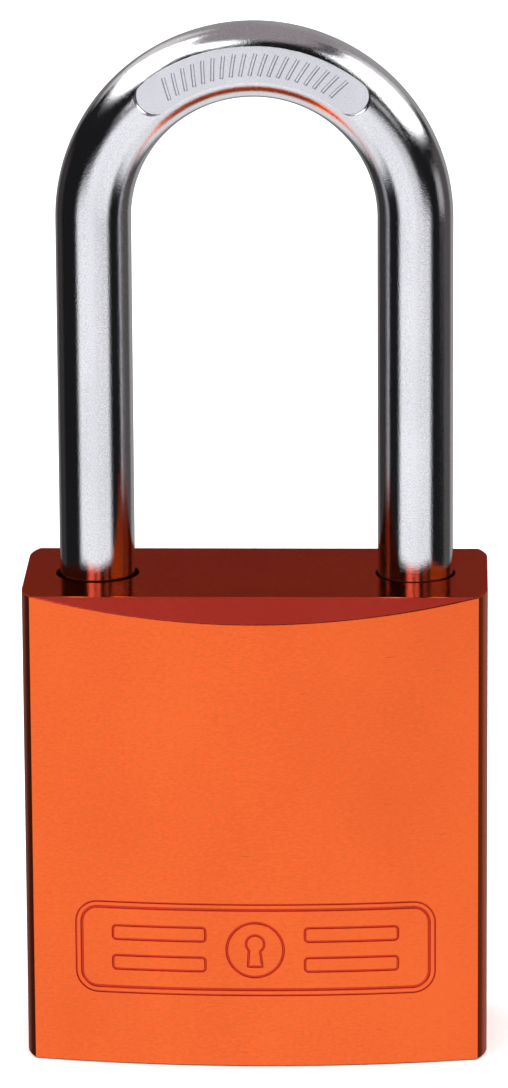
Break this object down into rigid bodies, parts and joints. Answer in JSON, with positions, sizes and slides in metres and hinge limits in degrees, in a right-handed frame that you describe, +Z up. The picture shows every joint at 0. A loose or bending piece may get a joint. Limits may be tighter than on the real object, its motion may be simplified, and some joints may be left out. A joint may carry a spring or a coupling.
{
  "type": "safety padlock",
  "caption": "Lockout padlock: bowed anodised aluminium block, long round steel shackle, pin cylinder in the base, and balls that lock both legs.",
  "frame": {"origin": "centre of the lock body's flat base", "axes": "+Z up along the shackle's legs, +X across the width towards the sprung heel leg, -Y out of the engraved front face"},
  "size_m": [0.04, 0.0204, 0.0899],
  "materials": {
    "anodised": "orange anodised, fine brushed grain",
    "chrome": "polished chrome plate",
    "nickel": "matt nickel plate on brass",
    "brass": "turned brass",
    "spring_steel": "bright spring steel",
    "ball_steel": "ground bearing steel"
  },
  "bodies": {
    "case": {"lock_body": "anodised", "cylinder_housing": "nickel", "chamber_cover": "brass", "retaining_pin": "spring_steel", "shackle_spring": "spring_steel", "pin_spring_1": "spring_steel", "pin_spring_2": "spring_steel", "pin_spring_3": "spring_steel", "pin_spring_4": "spring_steel", "pin_spring_5": "spring_steel", "pin_spring_6": "spring_steel"},
    "shackle": {"shackle": "chrome", "spring_follower": "brass"},
    "plug": {"plug": "nickel", "plug_clip": "spring_steel", "locking_cam": "brass"},
    "toe_ball": {"toe_ball": "ball_steel"},
    "heel_ball": {"heel_ball": "ball_steel"},
    "driver_pin_1": {"driver_pin_1": "spring_steel"},
    "driver_pin_2": {"driver_pin_2": "spring_steel"},
    "driver_pin_3": {"driver_pin_3": "spring_steel"},
    "driver_pin_4": {"driver_pin_4": "spring_steel"},
    "driver_pin_5": {"driver_pin_5": "spring_steel"},
    "driver_pin_6": {"driver_pin_6": "spring_steel"},
    "key_pin_1": {"key_pin_1": "brass"},
    "key_pin_2": {"key_pin_2": "brass"},
    "key_pin_3": {"key_pin_3": "brass"},
    "key_pin_4": {"key_pin_4": "brass"},
    "key_pin_5": {"key_pin_5": "brass"},
    "key_pin_6": {"key_pin_6": "brass"}
  },
  "joints": [
    {"name": "shackle_lift", "type": "slide", "parent": "case", "child": "shackle", "axis": [0, 0, 1], "range_m": [0, 0.0125], "deforming": ["shackle_spring"]},
    {"name": "plug_turn", "type": "hinge", "parent": "case", "child": "plug", "pos_m": [0, 0, 0.0138], "axis": [0, 0, 1], "range_deg": [-90, 0]},
    {"name": "toe_ball_slide", "type": "slide", "parent": "case", "child": "toe_ball", "axis": [-1, 0, 0], "range_m": [0, 0.00141]},
    {"name": "heel_ball_slide", "type": "slide", "parent": "case", "child": "heel_ball", "axis": [1, 0, 0], "range_m": [0, 0.00081]},
    {"name": "driver_pin_1_slide", "type": "slide", "parent": "case", "child": "driver_pin_1", "axis": [-1, 0, 0], "range_m": [0, 0.0009], "stiffness_N_per_m": 200, "springref_m": -0.0017, "deforming": ["pin_spring_1"]},
    {"name": "driver_pin_2_slide", "type": "slide", "parent": "case", "child": "driver_pin_2", "axis": [-1, 0, 0], "range_m": [0, 0.0009], "stiffness_N_per_m": 200, "springref_m": -0.0017, "deforming": ["pin_spring_2"]},
    {"name": "driver_pin_3_slide", "type": "slide", "parent": "case", "child": "driver_pin_3", "axis": [-1, 0, 0], "range_m": [0, 0.0009], "stiffness_N_per_m": 200, "springref_m": -0.0017, "deforming": ["pin_spring_3"]},
    {"name": "driver_pin_4_slide", "type": "slide", "parent": "case", "child": "driver_pin_4", "axis": [-1, 0, 0], "range_m": [0, 0.0009], "stiffness_N_per_m": 200, "springref_m": -0.0017, "deforming": ["pin_spring_4"]},
    {"name": "driver_pin_5_slide", "type": "slide", "parent": "case", "child": "driver_pin_5", "axis": [-1, 0, 0], "range_m": [0, 0.0009], "stiffness_N_per_m": 200, "springref_m": -0.0017, "deforming": ["pin_spring_5"]},
    {"name": "driver_pin_6_slide", "type": "slide", "parent": "case", "child": "driver_pin_6", "axis": [-1, 0, 0], "range_m": [0, 0.0009], "stiffness_N_per_m": 200, "springref_m": -0.0017, "deforming": ["pin_spring_6"]},
    {"name": "key_pin_1_slide", "type": "slide", "parent": "plug", "child": "key_pin_1", "axis": [0, 1, 0], "range_m": [0, 0.0014]},
    {"name": "key_pin_2_slide", "type": "slide", "parent": "plug", "child": "key_pin_2", "axis": [0, 1, 0], "range_m": [0, 0.0008]},
    {"name": "key_pin_3_slide", "type": "slide", "parent": "plug", "child": "key_pin_3", "axis": [0, 1, 0], "range_m": [0, 0.0017]},
    {"name": "key_pin_4_slide", "type": "slide", "parent": "plug", "child": "key_pin_4", "axis": [0, 1, 0], "range_m": [0, 0.0006]},
    {"name": "key_pin_5_slide", "type": "slide", "parent": "plug", "child": "key_pin_5", "axis": [0, 1, 0], "range_m": [0, 0.0011]},
    {"name": "key_pin_6_slide", "type": "slide", "parent": "plug", "child": "key_pin_6", "axis": [0, 1, 0], "range_m": [0, 0.0016]}
  ],
  "couplings": [
    {"joint": "toe_ball_slide", "follows": "plug_turn", "m_per_rad": -0.00089127},
    {"joint": "heel_ball_slide", "follows": "plug_turn", "m_per_rad": -0.0005093}
  ]
}
